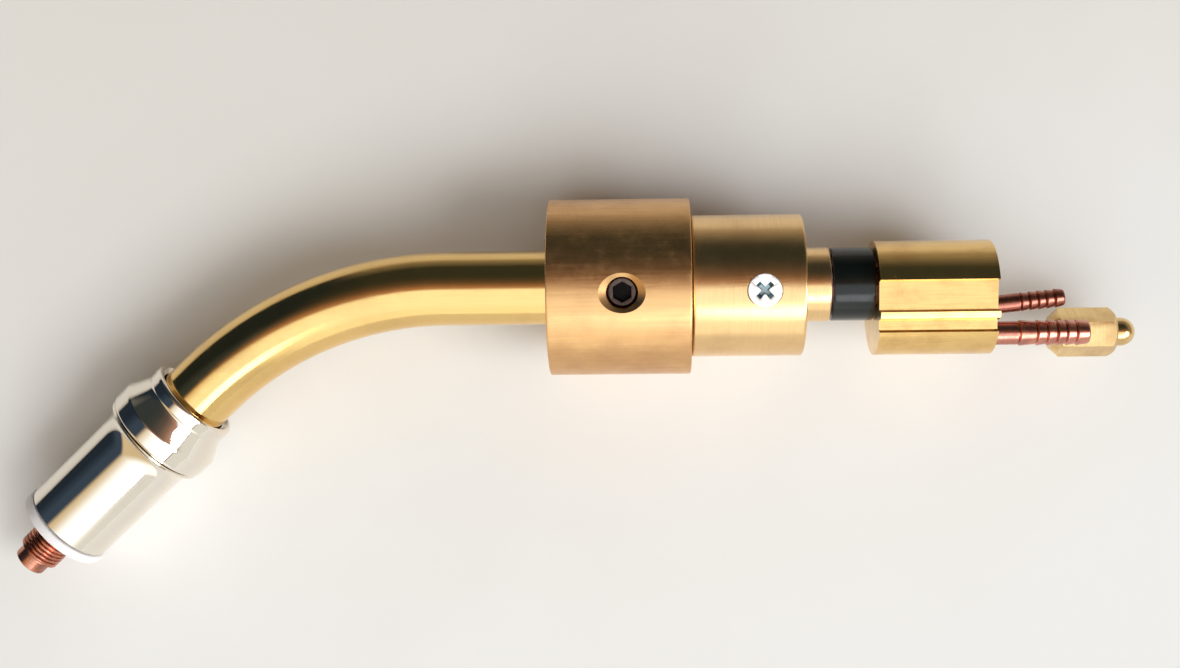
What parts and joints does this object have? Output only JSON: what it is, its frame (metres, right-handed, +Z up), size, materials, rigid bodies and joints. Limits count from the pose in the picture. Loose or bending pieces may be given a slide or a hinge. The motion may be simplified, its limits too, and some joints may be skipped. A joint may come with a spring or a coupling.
{
  "type": "mig welding torch",
  "caption": "Water-cooled swan neck of a machine MIG torch: bent brass neck with nozzle seat, clamping sleeve, insulated connector block, hose barbs and union nut.",
  "frame": {"origin": "middle of the bounding box at bench height; the part lies on its mounting sleeve and on the rim of its front insulator", "axes": "+X along the body axis towards the hose connections, +Z up, and the neck bends towards -Y"},
  "size_m": [0.2604, 0.085, 0.04],
  "materials": {
    "polished_brass": "polished",
    "turned_brass": "turned, satin",
    "block_brass": "milled and turned",
    "copper": "machined",
    "chrome": "polished",
    "zinc_steel": "zinc-plated",
    "black_steel": "black oxide",
    "white_plastic": "machined PTFE",
    "black_plastic": "turned",
    "black_rubber": "moulded"
  },
  "bodies": {
    "neck": {"neck_jacket": "polished_brass", "neck_insulation": "white_plastic", "water_jacket": "copper", "conductor_tube": "copper", "seat_collar": "chrome", "seat_o_ring": "black_rubber", "nozzle_seat": "chrome", "front_insulator": "white_plastic", "threaded_stub": "copper", "sleeve_circlip": "black_steel", "core_body": "turned_brass", "rear_sleeve": "turned_brass", "rear_sleeve_screw": "zinc_steel", "core_insulator": "white_plastic", "insulating_ring": "black_plastic", "connector_block": "block_brass", "jacket_o_ring": "black_rubber", "conductor_o_ring": "black_rubber", "water_barb": "copper", "gas_barb": "copper", "return_pipe": "copper", "ball_nose_nipple": "polished_brass"},
    "mounting_sleeve": {"mounting_sleeve": "turned_brass"},
    "clamp_pad": {"clamp_pad": "turned_brass"},
    "set_screw": {"set_screw": "black_steel"},
    "union_nut": {"union_nut": "polished_brass"}
  },
  "joints": [
    {"name": "sleeve_swivel", "type": "hinge", "parent": "neck", "child": "mounting_sleeve", "pos_m": [0.01298, 0.02249, 0.02], "axis": [1, 0, 0], "continuous": true},
    {"name": "clamp_pad_travel", "type": "slide", "parent": "mounting_sleeve", "child": "clamp_pad", "axis": [0, -0.1635, 0.9865], "range_m": [0, 0.003]},
    {"name": "set_screw_turn", "type": "hinge", "parent": "clamp_pad", "child": "set_screw", "pos_m": [0.01298, 0.0202, 0.03381], "axis": [0, -0.1635, 0.9865], "range_deg": [0, 864]},
    {"name": "union_nut_spin", "type": "hinge", "parent": "neck", "child": "union_nut", "pos_m": [0.11818, 0.0114, 0.0132], "axis": [1, 0, 0], "continuous": true}
  ],
  "couplings": [
    {"joint": "set_screw_turn", "follows": "clamp_pad_travel", "rad_per_m": 5026.5}
  ]
}
